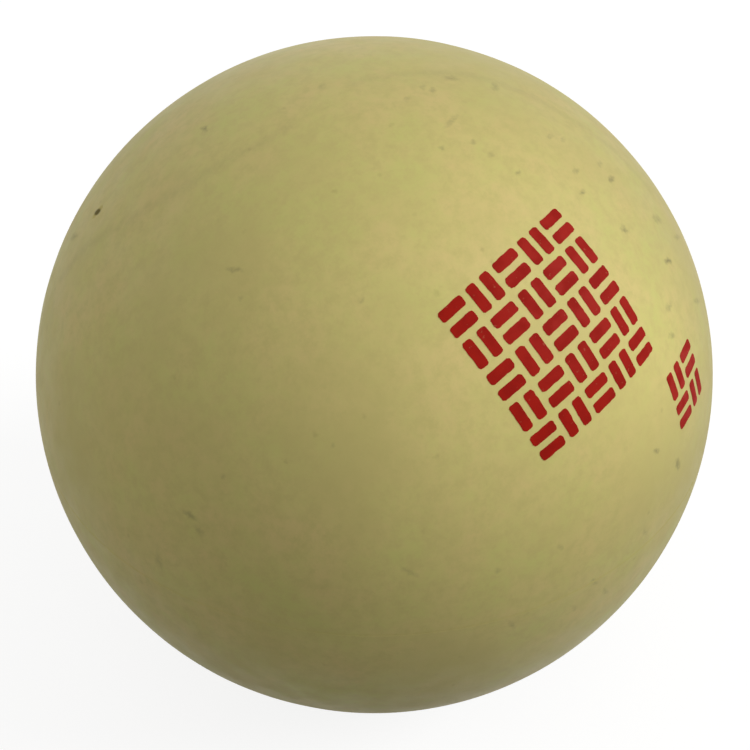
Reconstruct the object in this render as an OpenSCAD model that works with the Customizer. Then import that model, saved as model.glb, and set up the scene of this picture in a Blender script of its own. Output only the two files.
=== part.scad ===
// Pressurised fronton ball: two moulded rubber half shells, cemented rim to rim.
// A self-sealing charging plug sits in a moulded cup inside the lower pole.
// The origin is the centre of the ball, and +Z runs through the moulding poles, square to the seam.

/* [Ball] */
// Outside diameter of the finished ball
ball_d = 50; // [44:0.5:58]
// Wall thickness of each half shell
wall_t = 6; // [4.5:0.25:8]

/* [Seam] */
// Thickness of the cement film between the two rims
seam_film_t = 0.2; // [0.1:0.05:0.4]
// Depth of the hairline that the ground seam leaves round the outside
seam_line_depth = 0.04; // [0.02:0.01:0.1]
// Leg of the chamfer along the inner edge of each rim
rim_chamfer = 0.8; // [0.4:0.1:1.4]
// How far the squeezed-out cement bead stands into the cavity
bead_proud = 0.5; // [0.2:0.1:0.9]
// How far the bead laps onto the inner wall beyond each chamfer
bead_lap = 0.4; // [0.1:0.1:1]

/* [Charging plug] */
// Diameter of the self-sealing plug
plug_d = 9; // [6:0.5:12]
// Height of the plug
plug_h = 4; // [3:0.25:6]
// Radius round the top edge of the plug
plug_edge_r = 0.8; // [0.3:0.1:1.2]
// Thickness of the cement film under and round the plug
plug_film_t = 0.15; // [0.1:0.05:0.3]

/* [Plug cup] */
// Wall of the cup at its rim
cup_wall_t = 1.6; // [1:0.2:3]
// Depth of the cup from its rim to its floor
cup_depth = 3.4; // [2.5:0.1:5]
// How far the cup's floor is sunk into the half shell
cup_sink = 1; // [0:0.25:2]
// How much wider the cup is at its foot than at its rim
cup_flare = 1.4; // [0.4:0.2:3]

/* [Hidden] */
$fn = 96;
ball_r = ball_d / 2;
cavity_r = ball_r - wall_t;
mid_wall_r = cavity_r + wall_t / 2;

// Half height of the groove that the two rim chamfers and the film open between them
groove_half_h = rim_chamfer + seam_film_t / 2;
// The bead's face is an arc through the two edges of its lap
bead_half_h = groove_half_h + bead_lap;
bead_r = (bead_half_h * bead_half_h + bead_proud * bead_proud) / (2 * bead_proud);

plug_r = plug_d / 2;
socket_r = plug_r + plug_film_t;
cup_rim_r = socket_r + cup_wall_t;
cup_foot_r = cup_rim_r + cup_flare;
cup_floor_z = -(cavity_r + cup_sink);
cup_rim_z = cup_floor_z + cup_depth;

rubber_colour = [0.83, 0.77, 0.50];
cement_colour = [0.74, 0.62, 0.34];
plug_colour = [0.62, 0.44, 0.24];

// Every piece is turned about the moulding axis: in a profile, x is the distance from that axis and y is the height.

// Diamond-shaped groove that the chamfers of both rims open along the inside of the seam
module seam_groove_profile() {
    translate([cavity_r, 0])
        rotate(45)
            square(sqrt(2) * groove_half_h, center = true);
}

// Quarter ring of the upper half shell, standing on half of the cement film
module half_shell_profile() {
    difference() {
        intersection() {
            circle(r = ball_r);
            translate([0, seam_film_t / 2])
                square(ball_r);
        }
        circle(r = cavity_r);
        seam_groove_profile();
    }
}

// Boss round the plug, with sides that flare out into the wall below it
module cup_boss_profile() {
    foot_z = -sqrt(cavity_r * cavity_r - cup_foot_r * cup_foot_r);
    intersection() {
        polygon([
            [0, -mid_wall_r],
            [cup_foot_r, -mid_wall_r],
            [cup_foot_r, foot_z],
            [cup_rim_r, cup_rim_z],
            [0, cup_rim_z],
        ]);
        circle(r = mid_wall_r);
    }
}

// Upright socket for the plug and its film, open to the cavity
module plug_socket_profile() {
    translate([0, cup_floor_z])
        square([socket_r, -cup_floor_z]);
}

// Plug standing on its film, with its top edge rounded over
module plug_profile() {
    translate([0, cup_floor_z + plug_film_t]) {
        square([plug_r, plug_h - plug_edge_r]);
        square([plug_r - plug_edge_r, plug_h]);
        translate([plug_r - plug_edge_r, plug_h - plug_edge_r])
            circle(r = plug_edge_r);
    }
}

// Cement film between the rims, with the bead that fills the groove and laps onto the inner wall
module seam_cement_profile() {
    difference() {
        union() {
            translate([cavity_r, -seam_film_t / 2])
                square([wall_t - seam_line_depth, seam_film_t]);
            translate([cavity_r - bead_proud + bead_r, 0])
                circle(r = bead_r);
        }
        half_shell_profile();
        mirror([0, 1])
            half_shell_profile();
    }
}

module upper_half_shell() {
    color(rubber_colour)
        rotate_extrude()
            half_shell_profile();
}

module lower_half_shell() {
    color(rubber_colour)
        rotate_extrude()
            difference() {
                union() {
                    mirror([0, 1])
                        half_shell_profile();
                    cup_boss_profile();
                }
                plug_socket_profile();
            }
}

module seam_cement() {
    color(cement_colour)
        rotate_extrude()
            seam_cement_profile();
}

module sealing_plug() {
    color(plug_colour)
        rotate_extrude()
            plug_profile();
}

module plug_cement() {
    color(cement_colour)
        rotate_extrude()
            difference() {
                translate([0, cup_floor_z])
                    square([socket_r, cup_depth]);
                translate([0, cup_floor_z + plug_film_t])
                    square([plug_r, cup_depth]);
            }
}

upper_half_shell();
lower_half_shell();
seam_cement();
sealing_plug();
plug_cement();
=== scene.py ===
# %% [markdown]
# # A rubber fronton ball
# The part is a hollow ball: two thick rubber half shells, pressed in a mould, cemented rim to rim, ground
# smooth and printed in red. Its solids are already exact, so this script only dresses them, with fine
# skins for the two half shells and the seam ring, the print, a finish for every piece, and a small studio.
# Everything is in metres in the frame of the solids: the origin is the centre of the ball, the seam lies
# level in the XY plane, and the charging plug is inside the lower pole.

# %% Load the solids
import math

import bmesh
import bpy
from mathutils import Matrix, Vector


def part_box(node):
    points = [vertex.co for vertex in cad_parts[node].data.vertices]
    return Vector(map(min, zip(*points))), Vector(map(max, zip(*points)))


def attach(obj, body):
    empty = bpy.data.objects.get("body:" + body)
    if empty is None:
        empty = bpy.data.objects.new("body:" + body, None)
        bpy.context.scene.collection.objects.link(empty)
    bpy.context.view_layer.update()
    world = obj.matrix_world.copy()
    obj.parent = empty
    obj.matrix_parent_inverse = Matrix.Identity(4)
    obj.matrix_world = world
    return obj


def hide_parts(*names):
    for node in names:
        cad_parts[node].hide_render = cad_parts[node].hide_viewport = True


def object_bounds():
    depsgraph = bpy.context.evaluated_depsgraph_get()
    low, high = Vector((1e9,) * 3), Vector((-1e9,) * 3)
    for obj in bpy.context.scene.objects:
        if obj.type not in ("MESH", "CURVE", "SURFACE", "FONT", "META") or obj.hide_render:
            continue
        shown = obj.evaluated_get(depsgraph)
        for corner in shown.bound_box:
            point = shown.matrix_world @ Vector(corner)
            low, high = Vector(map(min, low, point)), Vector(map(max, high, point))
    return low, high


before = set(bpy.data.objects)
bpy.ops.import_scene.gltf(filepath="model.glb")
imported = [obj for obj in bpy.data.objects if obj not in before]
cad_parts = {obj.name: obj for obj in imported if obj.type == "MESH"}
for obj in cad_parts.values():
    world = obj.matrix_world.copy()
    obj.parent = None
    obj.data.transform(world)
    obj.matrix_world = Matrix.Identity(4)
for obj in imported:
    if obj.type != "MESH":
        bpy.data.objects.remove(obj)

solid_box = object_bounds()
MM = 0.001

upper_low, upper_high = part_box("upper_half_shell")
ball_r = upper_high.z
half_film = upper_low.z
print(f"ball radius {ball_r / MM:.2f} mm, half of the cement film {half_film / MM:.2f} mm")

# %% [markdown]
# ## The camera
# The photograph shows the ball alone on white, so its round outline is all there is to aim by. A ball
# seen from close by hides a little of itself behind its own edge. Here the eye is four radii away, which
# fixes the lens by the width of the outline. The camera looks down at the ball from the left of the
# printed side, so that the emblem, which faces -Y, comes out right of the middle. `on_ball` turns a pixel
# of the photograph into the point of the ball behind it, so marks can be placed where they are seen.

# %% Stand the camera where the photograph was taken
photo_w_px = 750
outline_centre_px = (374.3, 374.6)
outline_r_px = 338.6
sensor_w = 36
camera_distance = 4 * ball_r
camera_azimuth = math.radians(-36)
camera_elevation = math.radians(40)

to_right = Vector((math.cos(camera_azimuth), math.sin(camera_azimuth), 0))
to_camera = Vector((
    math.sin(camera_azimuth) * math.cos(camera_elevation),
    -math.cos(camera_azimuth) * math.cos(camera_elevation),
    math.sin(camera_elevation),
))
to_top = to_camera.cross(to_right)
eye = to_camera * camera_distance
focal_px = outline_r_px * math.sqrt((camera_distance / ball_r) ** 2 - 1)

bpy.ops.object.select_all(action="DESELECT")
bpy.ops.object.camera_add()
camera = bpy.context.object
camera.name = "photo_camera"
camera.matrix_world = Matrix.Translation(eye) @ Matrix((to_right, to_top, to_camera)).transposed().to_4x4()
camera.data.sensor_width = sensor_w
camera.data.lens = focal_px * sensor_w / photo_w_px
camera.data.shift_x = 0.5 - outline_centre_px[0] / photo_w_px
camera.data.shift_y = outline_centre_px[1] / photo_w_px - 0.5
camera.data.clip_start = camera_distance / 100
bpy.context.scene.camera = camera


def on_ball(pixel):
    """The point of the ball's surface behind a pixel of the photograph."""
    rightward = (pixel[0] - outline_centre_px[0]) / focal_px
    upward = (outline_centre_px[1] - pixel[1]) / focal_px
    sight = (to_right * rightward + to_top * upward - to_camera).normalized()
    to_closest = -eye.dot(sight)
    miss = (eye + sight * to_closest).length
    return eye + sight * (to_closest - math.sqrt(ball_r**2 - miss**2))


print(f"lens {camera.data.lens:.1f} mm, {camera_distance / MM:.0f} mm from the centre of the ball")

# %% [markdown]
# ## Working by hand, in code
# Every operator in Blender acts on what is selected, and edit mode works on one piece at a time. These
# small helpers do what a modeller's hands do between two operators: pick up one piece alone, go into edit
# mode, and select the faces, edges or points that pass a test of their place.

# %% Helpers for selecting
merge_gap = 0.0001 * MM


def put_down():
    """Leaves edit mode and deselects everything."""
    if bpy.context.mode != "OBJECT":
        bpy.ops.object.mode_set(mode="OBJECT")
    bpy.ops.object.select_all(action="DESELECT")


def take(piece):
    """Puts everything down but this piece."""
    put_down()
    piece.select_set(True)
    bpy.context.view_layer.objects.active = piece


def edit(piece):
    """Opens one piece in edit mode with all of it selected."""
    take(piece)
    bpy.ops.object.mode_set(mode="EDIT")
    bpy.ops.mesh.select_all(action="SELECT")


def pick(piece, kind, test):
    """In edit mode, selects only the VERT, EDGE or FACE parts that pass a test, and counts them."""
    bpy.ops.mesh.select_mode(type=kind)
    bpy.ops.mesh.select_all(action="DESELECT")
    mesh = bmesh.from_edit_mesh(piece.data)
    parts = {"VERT": mesh.verts, "EDGE": mesh.edges, "FACE": mesh.faces}[kind]
    found = [part for part in parts if test(part)]
    for part in found:
        part.select_set(True)
    bmesh.update_edit_mesh(piece.data)
    return len(found)


def cut_away(height, upward):
    """In edit mode, cuts the selection level at a height and keeps what lies above it, or below it."""
    bpy.ops.mesh.bisect(
        plane_co=(0, 0, height),
        plane_no=(0, 0, 1 if upward else -1),
        clear_inner=True,
        threshold=merge_gap,
    )


def draw_out(scale=(1, 1, 1), shift=(0, 0, 0)):
    """In edit mode, extrudes the selected edges, then scales them about the origin and shifts them."""
    bpy.ops.mesh.extrude_region()
    bpy.ops.transform.resize(value=scale, center_override=(0, 0, 0))
    bpy.ops.transform.translate(value=shift)


def narrowed(share):
    """A scale that draws a ring in towards the axis of the ball, or out from it."""
    return (share, share, 1)


# %% [markdown]
# ## The walls of the half shells
# Each half shell is a 6 mm wall of rubber with a ground outside and a plain moulded inside. A UV sphere
# would pinch at its poles, so each wall starts as a cube that is cut into small squares and cast onto a
# ball: its faces are nearly alike in size everywhere. The wall is then cut level where the cement film
# begins.

# %% Make a ball from a cube
outer_cuts = 99
inner_cuts = 59


def ball_skin(name, radius, cuts):
    """A cube, cut into squares and cast onto a ball of this radius."""
    put_down()
    bpy.ops.mesh.primitive_cube_add(size=2 * radius)
    skin = bpy.context.object
    skin.name = name
    edit(skin)
    bpy.ops.mesh.subdivide(number_cuts=cuts)
    take(skin)
    cast = skin.modifiers.new("cast onto a ball", "CAST")
    cast.factor = 1
    cast.size = radius
    cast.use_radius_as_size = False
    bpy.ops.object.modifier_apply(modifier=cast.name)
    print(f"{name}: {len(skin.data.polygons)} squares cast onto {radius / MM:.1f} mm")
    return skin


# %% [markdown]
# ## The rims
# Before cementing, each rim is buffed flat, and its inner edge is chamfered so that the cement that
# squeezes out gathers in a bead. The flat is the wall's edge, extruded inwards. The chamfer is left to
# the bridge between that flat and the inner wall.

# %% Cut a half and turn its rim in
rim_chamfer = 0.8 * MM
cavity_r = min(point.co.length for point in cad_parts["upper_half_shell"].data.vertices)
flat_inner_r = cavity_r + rim_chamfer


def outer_wall(name, upper):
    """The outside of a half shell, with the flat of its rim."""
    wall = ball_skin(name, ball_r, outer_cuts)
    edit(wall)
    cut_away(half_film if upper else -half_film, upper)
    pick(wall, "EDGE", lambda edge: edge.is_boundary)
    draw_out(narrowed(flat_inner_r / ball_r))
    return wall


def inner_wall(name, upper):
    """The inside of a half shell, down to its chamfer."""
    wall = ball_skin(name, cavity_r, inner_cuts)
    edit(wall)
    chamfer_z = half_film + rim_chamfer
    cut_away(chamfer_z if upper else -chamfer_z, upper)
    return wall


print(f"wall {(ball_r - cavity_r) / MM:.2f} mm, flat of the rim from {flat_inner_r / MM:.2f} mm out")

# %% [markdown]
# ## The plug cup
# A charged ball needs a way in for its gas. A plug of soft gum rubber sits in a cup inside the lower
# pole, and a needle goes through wall and plug, which closes behind it. The cup is moulded with the lower
# half: a level cut opens the inner wall in a circle, and three extrusions draw it up the flared side, in
# across the rim and down into the socket.

# %% Draw the cup out of the inner wall
cup_wall_t = 1.6 * MM
cup_flare = 1.4 * MM
socket_low, socket_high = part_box("plug_cement")
socket_r = socket_high.x
cup_rim_r = socket_r + cup_wall_t
cup_foot_r = cup_rim_r + cup_flare
cup_foot_z = -math.sqrt(cavity_r**2 - cup_foot_r**2)


def add_plug_cup(wall):
    """Opens the lower pole of the inner wall and draws the cup out of the opening."""
    edit(wall)
    cut_away(cup_foot_z, True)
    pick(wall, "EDGE", lambda edge: edge.is_boundary and edge.verts[0].co.z < cup_foot_z / 2)
    draw_out(narrowed(cup_rim_r / cup_foot_r), shift=(0, 0, socket_high.z - cup_foot_z))
    draw_out(narrowed(socket_r / cup_rim_r))
    draw_out(shift=(0, 0, socket_low.z - socket_high.z))
    bpy.ops.mesh.edge_face_add()


# %% [markdown]
# ## Closing the half shells
# The outer and inner walls of a half are still two sheets with open edges. They are joined into one
# piece, and a bridge between the edge of the flat and the edge of the inner wall becomes the chamfer and
# closes the shell. The count of open edges shows that it is closed, and the volume that it is whole.

# %% Join the walls into two half shells
sharp_from = math.radians(30)


def half_shell(name, upper):
    """One closed half shell, with its normals turned outwards."""
    shell = outer_wall(name, upper)
    inside = inner_wall(name + "_inside", upper)
    if not upper:
        add_plug_cup(inside)
    take(inside)
    shell.select_set(True)
    bpy.context.view_layer.objects.active = shell
    bpy.ops.object.join()
    edit(shell)
    pick(shell, "EDGE", lambda edge: edge.is_boundary)
    bpy.ops.mesh.bridge_edge_loops()
    bpy.ops.mesh.select_all(action="SELECT")
    bpy.ops.mesh.normals_make_consistent(inside=False)
    take(shell)
    bpy.ops.object.shade_smooth_by_angle(angle=sharp_from)
    return shell


upper_shell = half_shell("upper_shell", True)
lower_shell = half_shell("lower_shell", False)


def measure(piece):
    """Prints a piece's triangles, open edges and volume."""
    mesh = bmesh.new()
    mesh.from_mesh(piece.data)
    triangles = len(mesh.calc_loop_triangles())
    open_edges = sum(not edge.is_manifold for edge in mesh.edges)
    volume = mesh.calc_volume(signed=True) / MM**3
    mesh.free()
    print(f"{piece.name}: {triangles} triangles, {open_edges} open edges, {volume:.1f} cubic mm")


measure(upper_shell)
measure(lower_shell)

# %% [markdown]
# ## The cement in the seam
# A thin film of cement lies between the rims. Inside the ball it swells into the bead that was squeezed
# out, which fills the groove between the chamfers and laps onto the wall. Outside it is ground off with
# the rubber, so the seam is a hairline that one has to look for. The ring is turned like a bowl: its
# section is drawn out of a strip, from the ground edge inwards, and a spin takes the outline once round
# the axis of the ball.

# %% Draw the section of the ring
ground_below = 0.004 * MM
bead_proud = 0.5 * MM
bead_lap = 0.4 * MM
bead_points = 11
groove_half_h = half_film + rim_chamfer
bead_half_h = groove_half_h + bead_lap
bead_edge_r = math.sqrt(cavity_r**2 - bead_half_h**2)
film_outer_r = ball_r - ground_below
film_w = film_outer_r - flat_inner_r

put_down()
bpy.ops.mesh.primitive_plane_add(size=1, rotation=(math.pi / 2, 0, 0))
seam_ring = bpy.context.object
seam_ring.name = "seam_ring"
bpy.ops.object.transform_apply()
edit(seam_ring)
bpy.ops.transform.resize(value=(film_w, 1, 2 * half_film), center_override=(0, 0, 0))
bpy.ops.transform.translate(value=(flat_inner_r + film_w / 2, 0, 0))
pick(seam_ring, "EDGE", lambda edge: all(vert.co.x < flat_inner_r + merge_gap for vert in edge.verts))
draw_out((1, 1, groove_half_h / half_film), shift=(cavity_r - flat_inner_r, 0, 0))
draw_out((1, 1, bead_half_h / groove_half_h), shift=(bead_edge_r - cavity_r, 0, 0))
bpy.ops.mesh.subdivide(number_cuts=bead_points)

# %% Swell the bead and turn the ring
turning_steps = 256

bpy.ops.mesh.select_all(action="SELECT")
bpy.ops.mesh.dissolve_faces()
bpy.ops.mesh.delete(type="ONLY_FACE")
pick(seam_ring, "VERT", lambda vert: vert.co.x < cavity_r and abs(vert.co.z) < merge_gap)
bpy.ops.transform.translate(
    value=(cavity_r - bead_proud - bead_edge_r, 0, 0),
    use_proportional_edit=True,
    use_proportional_connected=True,
    proportional_edit_falloff="INVERSE_SQUARE",
    proportional_size=bead_half_h,
)
bpy.ops.mesh.select_all(action="SELECT")
bpy.ops.mesh.spin(steps=turning_steps, angle=2 * math.pi, center=(0, 0, 0), axis=(0, 0, 1))
bpy.ops.mesh.select_all(action="SELECT")
bpy.ops.mesh.remove_doubles(threshold=merge_gap)
bpy.ops.mesh.normals_make_consistent(inside=False)
take(seam_ring)
bpy.ops.object.shade_smooth_by_angle(angle=sharp_from)
measure(seam_ring)

# %% [markdown]
# ## The hand-ground skin
# The outside isn't a perfect sphere. Grinding leaves it very slightly uneven, by some hundredths of a
# millimetre over several millimetres, which is what makes its shine look soft and clouded. A Displace
# modifier with a cloud texture moves the outer wall in and out. Its vertex group fades to nothing at the
# seam, so the two halves still meet in one clean line.

# %% Ripple the outside
ripple_depth = 0.05 * MM
ripple_length = 7 * MM
seam_calm = 1.5 * MM

ripple_cloud = bpy.data.textures.new("grinding_ripple", "CLOUDS")
ripple_cloud.noise_scale = ripple_length
ripple_cloud.noise_depth = 1


def ripple_outside(shell):
    """Moves the outer wall of a half shell gently in and out."""
    outside = shell.vertex_groups.new(name="outside")
    for point in shell.data.vertices:
        if point.co.length > ball_r - half_film:
            away = min(1, (abs(point.co.z) - half_film) / seam_calm)
            outside.add([point.index], away, "REPLACE")
    take(shell)
    ripple = shell.modifiers.new("ripple", "DISPLACE")
    ripple.texture = ripple_cloud
    ripple.texture_coords = "LOCAL"
    ripple.strength = ripple_depth
    ripple.mid_level = 0.5
    ripple.vertex_group = outside.name
    bpy.ops.object.modifier_apply(modifier=ripple.name)


for shell in (upper_shell, lower_shell):
    ripple_outside(shell)
    farthest = max(point.co.length for point in shell.data.vertices)
    print(f"{shell.name}: reaches {farthest / MM:.3f} mm from the centre")

# %% [markdown]
# ## The nick
# A played ball picks up nicks from the wall. The one that shows is a short slanting cut near the left
# edge. The faces round it are first divided finely, so that the cut has points to move, and then a few
# points along its line are pushed in with proportional editing, which draws the rubber round them down as
# well.

# %% Press the nick into the rubber
nick_start_px = (94.5, 215.5)
nick_end_px = (100.5, 208.5)
nick_reach = 0.9 * MM
nick_w = 0.28 * MM
nick_depth = 0.12 * MM

nick_start = on_ball(nick_start_px)
nick_end = on_ball(nick_end_px)
nick_middle = (nick_start + nick_end) / 2


def along_nick(place):
    """How far a place is from the line of the nick."""
    line = nick_end - nick_start
    share = max(0, min(1, (place - nick_start).dot(line) / line.length_squared))
    return (place - nick_start - line * share).length


edit(upper_shell)
for cuts in (1, 2):
    pick(upper_shell, "FACE", lambda face: (face.calc_center_median() - nick_middle).length < nick_reach)
    bpy.ops.mesh.subdivide(number_cuts=cuts, ngon=False)
pressed = pick(upper_shell, "VERT", lambda vert: along_nick(vert.co) < nick_w / 4)
bpy.ops.transform.translate(
    value=-nick_middle.normalized() * nick_depth,
    use_proportional_edit=True,
    proportional_edit_falloff="SMOOTH",
    proportional_size=nick_w,
)
take(upper_shell)
print(f"nick: {pressed} points pressed {nick_depth / MM:.2f} mm in")
measure(upper_shell)

# %% [markdown]
# ## The printed emblem
# The ball carries a red emblem, put on with a soft pad that leaves a thin film of ink. The design here is
# a plain basket weave stood on its corner: squares of two bars, turned by a quarter from each square to
# the next. One bar is modelled flat and copied, with its outline roughened a little each time, because
# ink never prints quite straight. The flat weave is laid against the ball, pressed onto its skin by a
# Shrinkwrap modifier and given the thickness of the ink.

# %% Model one bar
square_w = 2.4 * MM
bars_per_square = 2
bar_gap = 0.45 * MM
bar_corner = 0.2 * MM
bar_points_along = 8
bar_points_across = 3
corner_segments = 3
ink_ragged = 0.03 * MM


def print_bar(length, width):
    """A flat bar with rounded corners and points all along it."""
    put_down()
    bpy.ops.mesh.primitive_grid_add(
        x_subdivisions=bar_points_along,
        y_subdivisions=bar_points_across,
        size=1,
    )
    bar = bpy.context.object
    edit(bar)
    bpy.ops.transform.resize(value=(length, width, 1), center_override=(0, 0, 0))
    pick(bar, "VERT", lambda vert: len(vert.link_edges) == 2)
    bpy.ops.mesh.bevel(offset=bar_corner, segments=corner_segments, affect="VERTICES")
    take(bar)
    return bar


def stamp(bar, place, turned, seed):
    """A copy of a bar with its own mesh and its own ragged outline, moved to a place and maybe turned."""
    take(bar)
    bpy.ops.object.duplicate()
    copy = bpy.context.object
    copy.location = place
    copy.rotation_euler = (0, 0, math.pi / 2 if turned else 0)
    bpy.ops.object.transform_apply()
    edit(copy)
    bpy.ops.transform.vertex_random(offset=ink_ragged, uniform=0, normal=0, seed=seed)
    take(copy)
    return copy


# %% Lay the bars out as a weave
emblem_squares = 5
side_mark_squares = 2


def weave(name, squares_wide):
    """A flat square of basket weave, so many squares each way, centred on the origin."""
    pitch = square_w / bars_per_square
    bar = print_bar(square_w - bar_gap, pitch - bar_gap)
    bars = []
    for column in range(squares_wide):
        for row in range(squares_wide):
            turned = (column + row) % 2 == 1
            middle = Vector((column, row, 0)) - Vector((1, 1, 0)) * (squares_wide - 1) / 2
            for step in range(bars_per_square):
                aside = (step - (bars_per_square - 1) / 2) * pitch
                shift = Vector((aside, 0, 0)) if turned else Vector((0, aside, 0))
                bars.append(stamp(bar, middle * square_w + shift, turned, seed=len(bars)))
    bpy.data.objects.remove(bar)
    take(bars[0])
    for copy in bars:
        copy.select_set(True)
    bpy.ops.object.join()
    bars[0].name = name
    print(f"{name}: {squares_wide} squares wide, {len(bars)} bars")
    return bars[0]


emblem = weave("printed_emblem", emblem_squares)
side_mark = weave("printed_side_mark", side_mark_squares)

# %% Press the ink onto the ball
ink_t = 0.02 * MM
ink_lift = 0.004 * MM
emblem_px = (561, 330)
side_mark_px = (687, 384)
on_corner_deg = 45
print_lean_deg = 7
print_tilt = math.radians(on_corner_deg - print_lean_deg)
ink_sharp_from = math.radians(40)


def press_print(print_film, pixel, shell):
    """Lays a flat print against the ball behind a pixel, upright as seen there, and presses it on."""
    spot = on_ball(pixel)
    outward = spot.normalized()
    level = to_top.cross(outward).normalized()
    upright = outward.cross(level)
    turn = Matrix.Rotation(print_tilt, 4, outward)
    facing = Matrix((level, upright, outward)).transposed().to_4x4()
    print_film.matrix_world = Matrix.Translation(spot) @ turn @ facing
    take(print_film)
    bpy.ops.object.transform_apply()
    wrap = print_film.modifiers.new("press on", "SHRINKWRAP")
    wrap.target = shell
    wrap.wrap_mode = "ABOVE_SURFACE"
    wrap.offset = ink_lift
    bpy.ops.object.modifier_apply(modifier=wrap.name)
    film = print_film.modifiers.new("film of ink", "SOLIDIFY")
    film.thickness = ink_t
    film.offset = 1
    bpy.ops.object.modifier_apply(modifier=film.name)
    bpy.ops.object.shade_smooth_by_angle(angle=ink_sharp_from)


press_print(emblem, emblem_px, upper_shell)
press_print(side_mark, side_mark_px, upper_shell)
measure(emblem)
measure(side_mark)

# %% [markdown]
# ## Building finishes from nodes
# A finish is a small network of nodes that ends in one Principled shader. Patterns read the Object
# coordinates, which are metres in the frame, so a pattern of a given size keeps that size on every piece.
# The helpers below add a node with its inputs given as values or as links, and blend two colours.

# %% Helpers for finishes
def new_finish(name):
    """An empty material with its output and Principled shader, and the place of each point."""
    finish = bpy.data.materials.new(name)
    finish.use_nodes = True
    tree = finish.node_tree
    shader = tree.nodes["Principled BSDF"]
    place = tree.nodes.new("ShaderNodeTexCoord").outputs["Object"]
    return finish, tree, shader, place


def put(tree, kind, inputs, **choices):
    """Adds a node: choices are its own settings, and inputs its sockets, as values or as links."""
    node = tree.nodes.new("ShaderNode" + kind)
    for name, choice in choices.items():
        setattr(node, name, choice)
    for socket, value in inputs.items():
        if isinstance(value, bpy.types.NodeSocket):
            tree.links.new(value, node.inputs[socket])
        else:
            node.inputs[socket].default_value = value
    return node


def blend(tree, share, first, second):
    """The colour that is first where share is 0 and second where it is 1."""
    mix = tree.nodes.new("ShaderNodeMix")
    mix.data_type = "RGBA"
    for socket, value in zip((mix.inputs[0], mix.inputs[6], mix.inputs[7]), (share, first, second)):
        if isinstance(value, bpy.types.NodeSocket):
            tree.links.new(value, socket)
        else:
            socket.default_value = value
    return mix.outputs[2]


def cloud(tree, place, length, detail=2.0, roughness=0.5, distortion=0.0):
    """A noise between 0 and 1 whose blotches are about this long."""
    inputs = {"Vector": place, "Scale": 1 / length, "Detail": detail}
    inputs.update({"Roughness": roughness, "Distortion": distortion})
    return put(tree, "TexNoise", inputs).outputs["Fac"]


def spread(tree, value, low, high, new_low=0.0, new_high=1.0):
    """A value taken smoothly from one range to another, and held at its ends."""
    inputs = {"Value": value, "From Min": low, "From Max": high, "To Min": new_low, "To Max": new_high}
    return put(tree, "MapRange", inputs, interpolation_type="SMOOTHSTEP").outputs["Result"]


def combined(tree, operation, first, second):
    """Two values combined by one operation of the Math node."""
    return put(tree, "Math", {0: first, 1: second}, operation=operation).outputs["Value"]


def bump(tree, height, depth, under=None):
    """A normal bent by a height of this depth, on top of another normal."""
    inputs = {"Height": height, "Distance": depth, "Strength": 1.0}
    if under:
        inputs["Normal"] = under
    return put(tree, "Bump", inputs).outputs["Normal"]


# %% [markdown]
# ## Marks of play, and lines of painted shade
# Besides the nick, small spots of dirt and short faint scuffs lie on the skin, most of them up on the
# right. Each one is an oval at a place of the photograph, turned to face the eye, so that it looks as it
# was measured there, also near the edge of the ball. A Mapping node set to Texture moves the oval to the
# origin and stretches it to a unit ball, so the length of the mapped place is 1 on its edge. The ovals
# are joined by taking the strongest at each point. Spots are round, so they are only sorted by how dark
# they are. A scuff has a place, a length, a slant in degrees and a strength of its own. Two long lines,
# so faint that they only just show, run over the left shoulder and under the upper edge: they are
# painted shade, where the edges of reflections fall. Each is a chain of short straight runs, and its mask
# comes from the distance to the nearest run.

# %% List the spots and the scuffs
mark_w_px = 9
faint_spots = ((407, 99), (423, 87), (563, 140), (600, 164), (491, 155), (645, 532), (605, 591), (574, 608))
faint_spots += ((561, 548), (497, 571), (333, 446), (223, 477), (361, 301), (241, 298))
clear_spots = ((433, 90), (442, 148), (473, 142), (518, 173), (550, 136), (576, 171), (672, 336), (594, 582))
clear_spots += ((677, 237), (697, 301))
dark_spots = ((204, 129), (582, 193), (611, 179), (657, 451))
darkest_spots = ((668, 261),)
spot_strengths = {faint_spots: 0.32, clear_spots: 0.46, dark_spots: 0.75, darkest_spots: 1.0}
scuffs = {
    "upper left": ((322, 86), 15, 40, 0.26),
    "top left": ((451, 78), 22, -5, 0.5),
    "top right": ((495, 86), 16, -53, 0.5),
    "below the top": ((451, 121), 27, 44, 0.36),
    "right, first": ((624, 229), 16, -52, 0.75),
    "right, second": ((657, 219), 16, -45, 0.5),
    "right, third": ((669, 307), 16, 70, 0.45),
    "right, fourth": ((678, 464), 16, 89, 0.7),
    "left": ((235, 270), 25, -7, 0.55),
    "lower left, first": ((190, 515), 25, -33, 0.6),
    "lower left, second": ((199, 531), 23, -52, 0.34),
    "lower left, third": ((159, 561), 27, -71, 0.32),
    "bottom left": ((410, 572), 31, -28, 0.36),
    "bottom right": ((512, 625), 16, -60, 0.36),
    "left edge": ((74, 237), 15, 53, 0.5),
}
# Painted shade: two faint dark lines where the edges of reflections fall, given as pixels along each.
left_shade_line = ((62, 277), (80, 253), (127, 222), (163, 200), (203, 175), (230, 158), (260, 145), (288, 126))
top_shade_line = ((353, 83), (400, 75), (443, 73), (483, 78), (533, 97), (567, 117), (610, 147), (650, 190))
shade_line_w = 1.6 * MM
shade_line_strength = 0.14
print(f"{sum(len(spots) for spots in spot_strengths)} spots, {len(scuffs)} scuffs and 2 painted shade lines")

# %% Turn them into a mask
mark_depth = 4 * MM
mark_grain = 0.25 * MM


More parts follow.
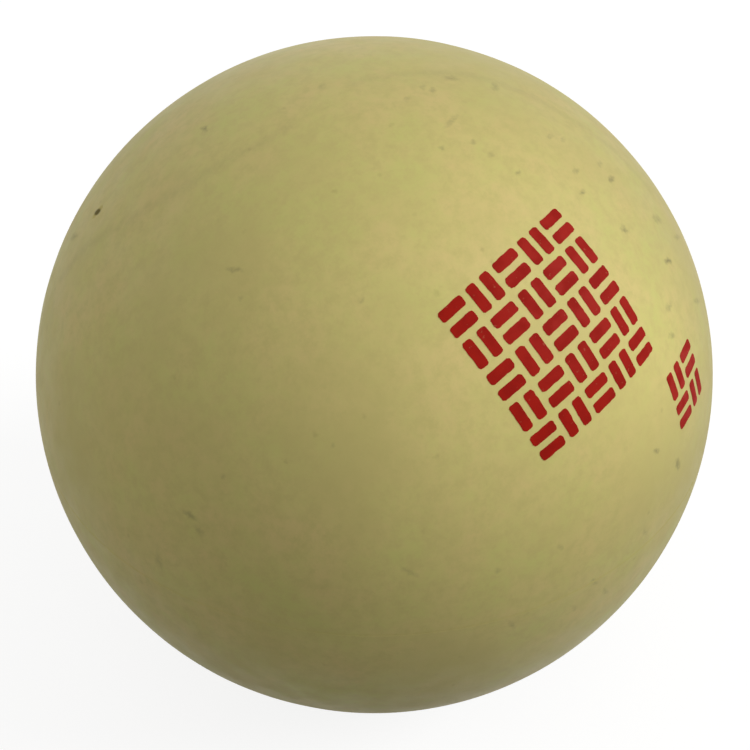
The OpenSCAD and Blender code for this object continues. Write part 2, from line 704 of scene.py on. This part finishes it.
def oval_mask(tree, place, pixel, size_px, turn_deg):
    """1 in the middle of a mark that looks oval in the photograph, of a size in pixels, and 0 outside it."""
    centre = on_ball(pixel)
    towards_eye = (eye - centre).normalized()
    level = to_top.cross(towards_eye).normalized()
    facing = Matrix((level, towards_eye.cross(level), towards_eye)).transposed()
    turned = Matrix.Rotation(math.radians(turn_deg), 3, towards_eye) @ facing
    metres_per_px = (eye - centre).length / focal_px
    inputs = {
        "Vector": place,
        "Location": centre,
        "Rotation": turned.to_euler(),
        "Scale": (size_px[0] * metres_per_px / 2, size_px[1] * metres_per_px / 2, mark_depth),
    }
    mapped = put(tree, "Mapping", inputs, vector_type="TEXTURE").outputs["Vector"]
    reach = put(tree, "VectorMath", {0: mapped}, operation="LENGTH").outputs["Value"]
    return spread(tree, reach, 1.0, 0.0)


def line_mask(tree, place, pixels):
    """1 along a line through pixels of the photograph, fading to 0 at its sides."""
    corners = [on_ball(pixel) for pixel in pixels]
    nearest = 1.0
    for start, end in zip(corners, corners[1:]):
        run = end - start
        come = put(tree, "VectorMath", {0: place, 1: start}, operation="SUBTRACT").outputs["Vector"]
        share = put(tree, "VectorMath", {0: come, 1: run / run.length_squared}, operation="DOT_PRODUCT")
        held = put(tree, "Clamp", {"Value": share.outputs["Value"]}).outputs["Result"]
        foot = put(tree, "VectorMath", {0: run, "Scale": held}, operation="SCALE").outputs["Vector"]
        away = put(tree, "VectorMath", {0: come, 1: foot}, operation="DISTANCE").outputs["Value"]
        nearest = combined(tree, "MINIMUM", away, nearest)
    return spread(tree, nearest, shade_line_w / 2, 0.0)


def marks_and_shade_mask(tree, place):
    """The strongest of all the marks and the painted shade lines at each point, broken up by a fine noise."""
    marks = list(scuffs.values())
    for spots, strength in spot_strengths.items():
        marks += [(pixel, mark_w_px, 0, strength) for pixel in spots]
    strongest = 0.0
    for pixel, length_px, turn_deg, strength in marks:
        oval = oval_mask(tree, place, pixel, (length_px, mark_w_px), turn_deg)
        faded = combined(tree, "MULTIPLY", oval, strength)
        strongest = combined(tree, "MAXIMUM", faded, strongest)
    # Painted shade: the two faint dark lines along the edges of reflections.
    for pixels in (left_shade_line, top_shade_line):
        faded = combined(tree, "MULTIPLY", line_mask(tree, place, pixels), shade_line_strength)
        strongest = combined(tree, "MAXIMUM", faded, strongest)
    grain = cloud(tree, place, mark_grain, detail=3)
    return combined(tree, "MULTIPLY", strongest, spread(tree, grain, 0.25, 0.6, 0.4, 1))


# %% [markdown]
# ## Cream rubber
# The shells are pale yellow rubber, ground to a dull satin. The colour drifts a little towards green and
# towards sand over the ball, with fine mottling in it. Round the print it is painted paler: a painted
# highlight where the key lamp's broad shine falls. Grains of filler show as small faint specks, which come
# from a Voronoi pattern: only the cells whose middle lies near the skin show, each as a dot of its own
# size. A noise bends the pattern, the marks of play and the painted shade lines alike, so that none of
# them is a clean round. The shader reflects weakly and widely, and two bumps give a grain finer than the
# mesh could carry.

# %% Cloud the cream
cream_green = (0.605, 0.568, 0.183, 1)
cream_sand = (0.674, 0.545, 0.211, 1)
cream_dull = (0.585, 0.503, 0.178, 1)
# Painted highlights: place, reach and gain of the paler patches round the print, where the key lamp shines.
painted_highlights = (((537, 332), 21.6 * MM, 0.30), ((668, 378), 11 * MM, 0.15))
drift_length = 5 * MM
mottle_length = 9 * MM
fleck_length = 0.9 * MM
speck_brown = (0.36, 0.29, 0.09, 1)
scuff_and_shade_grey = (0.30, 0.26, 0.11, 1)
nick_brown = (0.17, 0.135, 0.03, 1)
nick_darkening_px = (12, 6)
nick_slant_deg = 50


def clouded_cream(tree, place):
    """The colour of the ground rubber, with a painted highlight round the print, before any specks or marks.
    """
    drift = spread(tree, cloud(tree, place, drift_length, detail=5, roughness=0.7), 0.3, 0.7)
    colour = blend(tree, drift, cream_green, cream_sand)
    mottle = spread(tree, cloud(tree, place, mottle_length, detail=4), 0.42, 0.75, 0, 0.8)
    colour = blend(tree, mottle, colour, cream_dull)
    fleck = spread(tree, cloud(tree, place, fleck_length, detail=4, roughness=0.7), 0.35, 0.75)
    colour = blend(tree, fleck, colour, cream_dull)
    # Painted highlight: the rubber is made paler round the print, where the key lamp's broad shine falls.
    for pixel, reach, gain in painted_highlights:
        away = put(tree, "VectorMath", {0: place, 1: on_ball(pixel)}, operation="DISTANCE").outputs["Value"]
        paler = spread(tree, away, reach, 0.0, 1.0, 1 + gain)
        colour = put(tree, "HueSaturation", {"Color": colour, "Value": paler}).outputs["Color"]
    return colour


# %% Speck the rubber, mark it and make it satin
stray_length = 0.4 * MM
speck_gap = 2.4 * MM
speck_r = 0.12
speck_patch = 12 * MM
dull_length = 2 * MM
grain_length = 0.22 * MM
grain_depth = 0.004 * MM
peel_length = 1.3 * MM
peel_depth = 0.012 * MM


def bend(tree, place, length, reach):
    """A place moved about by a noise, so that a pattern on it loses its clean outlines."""
    strayed = put(tree, "TexNoise", {"Vector": place, "Scale": 1 / length}).outputs["Color"]
    middle = put(tree, "VectorMath", {0: strayed, 1: (0.5, 0.5, 0.5)}, operation="SUBTRACT").outputs["Vector"]
    stray = put(tree, "VectorMath", {0: middle, "Scale": reach}, operation="SCALE").outputs["Vector"]
    return put(tree, "VectorMath", {0: place, 1: stray}, operation="ADD").outputs["Vector"]


def mix_rubber():
    """The finish of the half shells."""
    finish, tree, shader, place = new_finish("cream_rubber")
    colour = clouded_cream(tree, place)
    bent = bend(tree, place, stray_length, stray_length)
    cells = put(tree, "TexVoronoi", {"Vector": bent, "Scale": 1 / speck_gap}).outputs["Distance"]
    speck = spread(tree, cells, speck_r, 0.0)
    patchy = spread(tree, cloud(tree, place, speck_patch), 0.38, 0.6, 0.04, 0.28)
    colour = blend(tree, combined(tree, "MULTIPLY", speck, patchy), colour, speck_brown)

    # The mask holds real spots and scuffs, and two lines of painted shade; both darken the colour.
    scuffs_and_shade = marks_and_shade_mask(tree, bent)
    colour = blend(tree, scuffs_and_shade, colour, scuff_and_shade_grey)
    nick_px = tuple((a + b) / 2 for a, b in zip(nick_start_px, nick_end_px))
    # The nick and the rubber round its cut are painted a darker brown.
    nick_darkening = spread(tree, oval_mask(tree, place, nick_px, nick_darkening_px, nick_slant_deg), 0, 0.6)
    colour = blend(tree, nick_darkening, colour, nick_brown)
    tree.links.new(colour, shader.inputs["Base Color"])

    dull = spread(tree, cloud(tree, place, dull_length, detail=3), 0.3, 0.7, 0.55, 0.65)
    duller = combined(tree, "ADD", dull, combined(tree, "MULTIPLY", scuffs_and_shade, 0.15))
    tree.links.new(duller, shader.inputs["Roughness"])
    shader.inputs["Specular IOR Level"].default_value = 0.2
    shader.inputs["Sheen Weight"].default_value = 0.2
    shader.inputs["Sheen Roughness"].default_value = 0.4
    grain = bump(tree, cloud(tree, place, grain_length, detail=2), grain_depth)
    peel = bump(tree, cloud(tree, place, peel_length, detail=2), peel_depth, under=grain)
    tree.links.new(peel, shader.inputs["Normal"])
    return finish


cream_rubber = mix_rubber()
print(f"{cream_rubber.name}: {len(cream_rubber.node_tree.nodes)} nodes")

# %% [markdown]
# ## Red ink
# Pad-printing ink lies matt and even, but it is thin: in a few pinholes the rubber shows through, and the
# red varies slightly in depth where the film is thicker.

# %% Mix the ink
ink_red = (0.445, 0.011, 0.004, 1)
ink_deep = (0.37, 0.009, 0.004, 1)
ink_thin = (0.50, 0.10, 0.05, 1)
ink_cloud = 1.2 * MM
pinhole_length = 0.3 * MM
ink_grain = 0.2 * MM
ink_grain_depth = 0.004 * MM


def mix_ink():
    """The finish of the print."""
    finish, tree, shader, place = new_finish("red_ink")
    depth = spread(tree, cloud(tree, place, ink_cloud, detail=3), 0.35, 0.7)
    colour = blend(tree, depth, ink_red, ink_deep)
    pinholes = spread(tree, cloud(tree, place, pinhole_length, detail=3), 0.66, 0.74, 0, 0.7)
    colour = blend(tree, pinholes, colour, ink_thin)
    tree.links.new(colour, shader.inputs["Base Color"])
    tree.links.new(spread(tree, depth, 0, 1, 0.5, 0.62), shader.inputs["Roughness"])
    shader.inputs["Specular IOR Level"].default_value = 0.08
    tree.links.new(bump(tree, cloud(tree, place, ink_grain), ink_grain_depth), shader.inputs["Normal"])
    return finish


red_ink = mix_ink()
print(f"{red_ink.name}: {len(red_ink.node_tree.nodes)} nodes")

# %% [markdown]
# ## Cement and gum, inside the ball
# The cement cures to a cloudy amber with small bubbles. Where it comes out at the seam it is ground with
# the rubber and takes up its dust, so towards the outside the finish turns to the colour of the shells.
# The side that is printed was buffed once more and shows no seam at all. At the back some amber is left
# in it, as a hairline. The plug is brown gum rubber, softer and a little tacky, with a fine mottle.

# %% Mix the cement and the gum
cement_amber = (0.50, 0.36, 0.12, 1)
cement_dark = (0.34, 0.21, 0.06, 1)
gum_brown = (0.34, 0.18, 0.06, 1)
gum_dark = (0.22, 0.105, 0.035, 1)
cement_cloud = 1.5 * MM
bubble_gap = 0.5 * MM
bubble_depth = 0.02 * MM
dust_depth = 0.4 * MM
hairline_amber = 0.45
hairline_from = 0.35 * ball_r
hairline_full = 0.75 * ball_r
gum_cloud = 1.1 * MM
gum_grain = 0.3 * MM
gum_grain_depth = 0.01 * MM


def mix_cement():
    """The finish of the seam's cement and of the film round the plug."""
    finish, tree, shader, place = new_finish("amber_cement")
    clouded = spread(tree, cloud(tree, place, cement_cloud, detail=4), 0.3, 0.7)
    colour = blend(tree, clouded, cement_amber, cement_dark)
    radius = put(tree, "VectorMath", {0: place}, operation="LENGTH").outputs["Value"]
    dusted = spread(tree, radius, ball_r - 2 * dust_depth, ball_r - dust_depth)
    backward = put(tree, "SeparateXYZ", {"Vector": place}).outputs["Y"]
    buffed = spread(tree, backward, hairline_from, hairline_full, 1, 1 - hairline_amber)
    colour = blend(tree, combined(tree, "MULTIPLY", dusted, buffed), colour, clouded_cream(tree, place))
    tree.links.new(colour, shader.inputs["Base Color"])
    tree.links.new(spread(tree, dusted, 0, 1, 0.35, 0.6), shader.inputs["Roughness"])
    shader.inputs["Specular IOR Level"].default_value = 0.2
    bubbles = put(tree, "TexVoronoi", {"Vector": place, "Scale": 1 / bubble_gap}).outputs["Distance"]
    pits = combined(tree, "MAXIMUM", spread(tree, bubbles, 0.15, 0.3), dusted)
    tree.links.new(bump(tree, pits, bubble_depth), shader.inputs["Normal"])
    return finish


def mix_gum():
    """The finish of the charging plug."""
    finish, tree, shader, place = new_finish("brown_gum")
    mottle = spread(tree, cloud(tree, place, gum_cloud, detail=4), 0.35, 0.7)
    tree.links.new(blend(tree, mottle, gum_brown, gum_dark), shader.inputs["Base Color"])
    tree.links.new(spread(tree, mottle, 0, 1, 0.4, 0.55), shader.inputs["Roughness"])
    grain = cloud(tree, place, gum_grain, detail=3)
    tree.links.new(bump(tree, grain, gum_grain_depth), shader.inputs["Normal"])
    return finish


amber_cement = mix_cement()
brown_gum = mix_gum()
print(f"{amber_cement.name}, {brown_gum.name}")

# %% [markdown]
# ## Putting the ball together
# Each new piece takes its finish and the body that it rides on, and where it stands for a solid, that
# solid is hidden. A ball has no joints, so there is one body, root. The plug and the film round it keep
# their solids and only take a finish.

# %% Dress the pieces
for shell, solid in ((upper_shell, "upper_half_shell"), (lower_shell, "lower_half_shell")):
    shell.data.materials.append(cream_rubber)
    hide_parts(solid)
    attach(shell, "root")

seam_ring.data.materials.append(amber_cement)
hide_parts("seam_cement")
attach(seam_ring, "root")

for print_film in (emblem, side_mark):
    print_film.data.materials.append(red_ink)
    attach(print_film, "root")

inner_finishes = {"plug_cement": amber_cement, "sealing_plug": brown_gum}
for node_name, finish in inner_finishes.items():
    for material_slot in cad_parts[node_name].material_slots:
        material_slot.material = finish
    print(f"{node_name}: {finish.name}")

# %% [markdown]
# ## The studio
# The ball lies on a plain pale floor under one large soft lamp to the right of the camera, a weak one
# behind it on the left, and weak light from all round. To the camera, and in reflections, floor and
# surroundings are white, as in the photograph. For the light that they throw on the ball they are much
# darker, which leaves its underside in shade. The floor's white is part paint and part glow, so that the
# shadow on it stays, but softly. Away from the ball the glow rises, so the floor runs out into the white
# without an edge.

# %% Paint the surroundings
surround_light = 0.44
white = (1, 1, 1, 1)


def seen_directly(tree):
    """1 for rays from the camera, reflections and glass, and 0 for the light thrown on the ball."""
    path = tree.nodes.new("ShaderNodeLightPath").outputs
    reflected = combined(tree, "MAXIMUM", path["Is Glossy Ray"], path["Is Transmission Ray"])
    return combined(tree, "MAXIMUM", path["Is Camera Ray"], reflected)


surround = bpy.data.worlds.new("white_surround")
surround.use_nodes = True
bpy.context.scene.world = surround
sky = surround.node_tree
sky_strength = spread(sky, seen_directly(sky), 0, 1, surround_light, 1)
sky.links.new(sky_strength, sky.nodes["Background"].inputs["Strength"])
sky.nodes["Background"].inputs["Color"].default_value = white
print(f"{surround.name}: white to the eye, {surround_light} as light")

# %% Lay the floor
floor_w = 4.0
floor_bounce = (0.13, 0.13, 0.13, 1)
floor_paint = (0.27, 0.27, 0.27, 1)
floor_glow = 0.83
white_from = 0.15
white_at = 0.9

put_down()
bpy.ops.mesh.primitive_plane_add(size=floor_w, location=(0, 0, solid_box[0].z))
floor = bpy.context.object
floor.name = "pale_floor"

paint = bpy.data.materials.new("pale_floor_paint")
paint.use_nodes = True
tree = paint.node_tree
tree.nodes.clear()
direct = seen_directly(tree)
bounce = put(tree, "BsdfDiffuse", {"Color": floor_bounce}).outputs["BSDF"]
shadowed = put(tree, "BsdfDiffuse", {"Color": floor_paint}).outputs["BSDF"]
floor_place = tree.nodes.new("ShaderNodeTexCoord").outputs["Object"]
away = put(tree, "VectorMath", {0: floor_place}, operation="LENGTH").outputs["Value"]
glow_strength = spread(tree, away, white_from, white_at, floor_glow, 1)
glow = put(tree, "Emission", {"Color": white, "Strength": glow_strength}).outputs["Emission"]
shown = put(tree, "AddShader", {0: shadowed, 1: glow}).outputs["Shader"]
top_side = put(tree, "MixShader", {0: direct, 1: bounce, 2: shown}).outputs["Shader"]
under_side = put(tree, "BsdfTransparent", {"Color": white}).outputs["BSDF"]
backfacing = tree.nodes.new("ShaderNodeNewGeometry").outputs["Backfacing"]
sided = put(tree, "MixShader", {0: backfacing, 1: top_side, 2: under_side}).outputs["Shader"]
put(tree, "OutputMaterial", {"Surface": sided})
floor.data.materials.append(paint)
print(f"{floor.name}: {floor_w} m wide, white {white_at} m from the ball")

# %% Hang the lamps
lamp_distance = 1.2


def hang_lamp(name, azimuth_deg, elevation_deg, width, light):
    """A soft round lamp aimed at the ball, on which it lights a white card to this brightness."""
    azimuth = math.radians(azimuth_deg)
    elevation = math.radians(elevation_deg)
    towards = Vector((
        math.sin(azimuth) * math.cos(elevation),
        -math.cos(azimuth) * math.cos(elevation),
        math.sin(elevation),
    ))
    put_down()
    bpy.ops.object.light_add(type="AREA")
    lamp = bpy.context.object
    lamp.name = name
    lamp.data.shape = "DISK"
    lamp.data.size = width
    lamp.data.energy = light * math.pi**2 * lamp_distance**2
    lamp.location = towards * lamp_distance
    lamp.rotation_euler = towards.to_track_quat("Z", "Y").to_euler()
    print(f"{name}: {lamp.data.energy:.2f} W, {width} m wide, {lamp_distance} m away")


hang_lamp("key_lamp", azimuth_deg=49, elevation_deg=34, width=0.65, light=0.494)
hang_lamp("back_lamp", azimuth_deg=-145, elevation_deg=22, width=0.6, light=0.113)
bpy.context.scene.view_settings.view_transform = "Standard"

# %% Print the box of the solids
print("solid box", [[round(x / MM, 2) for x in corner] for corner in solid_box])
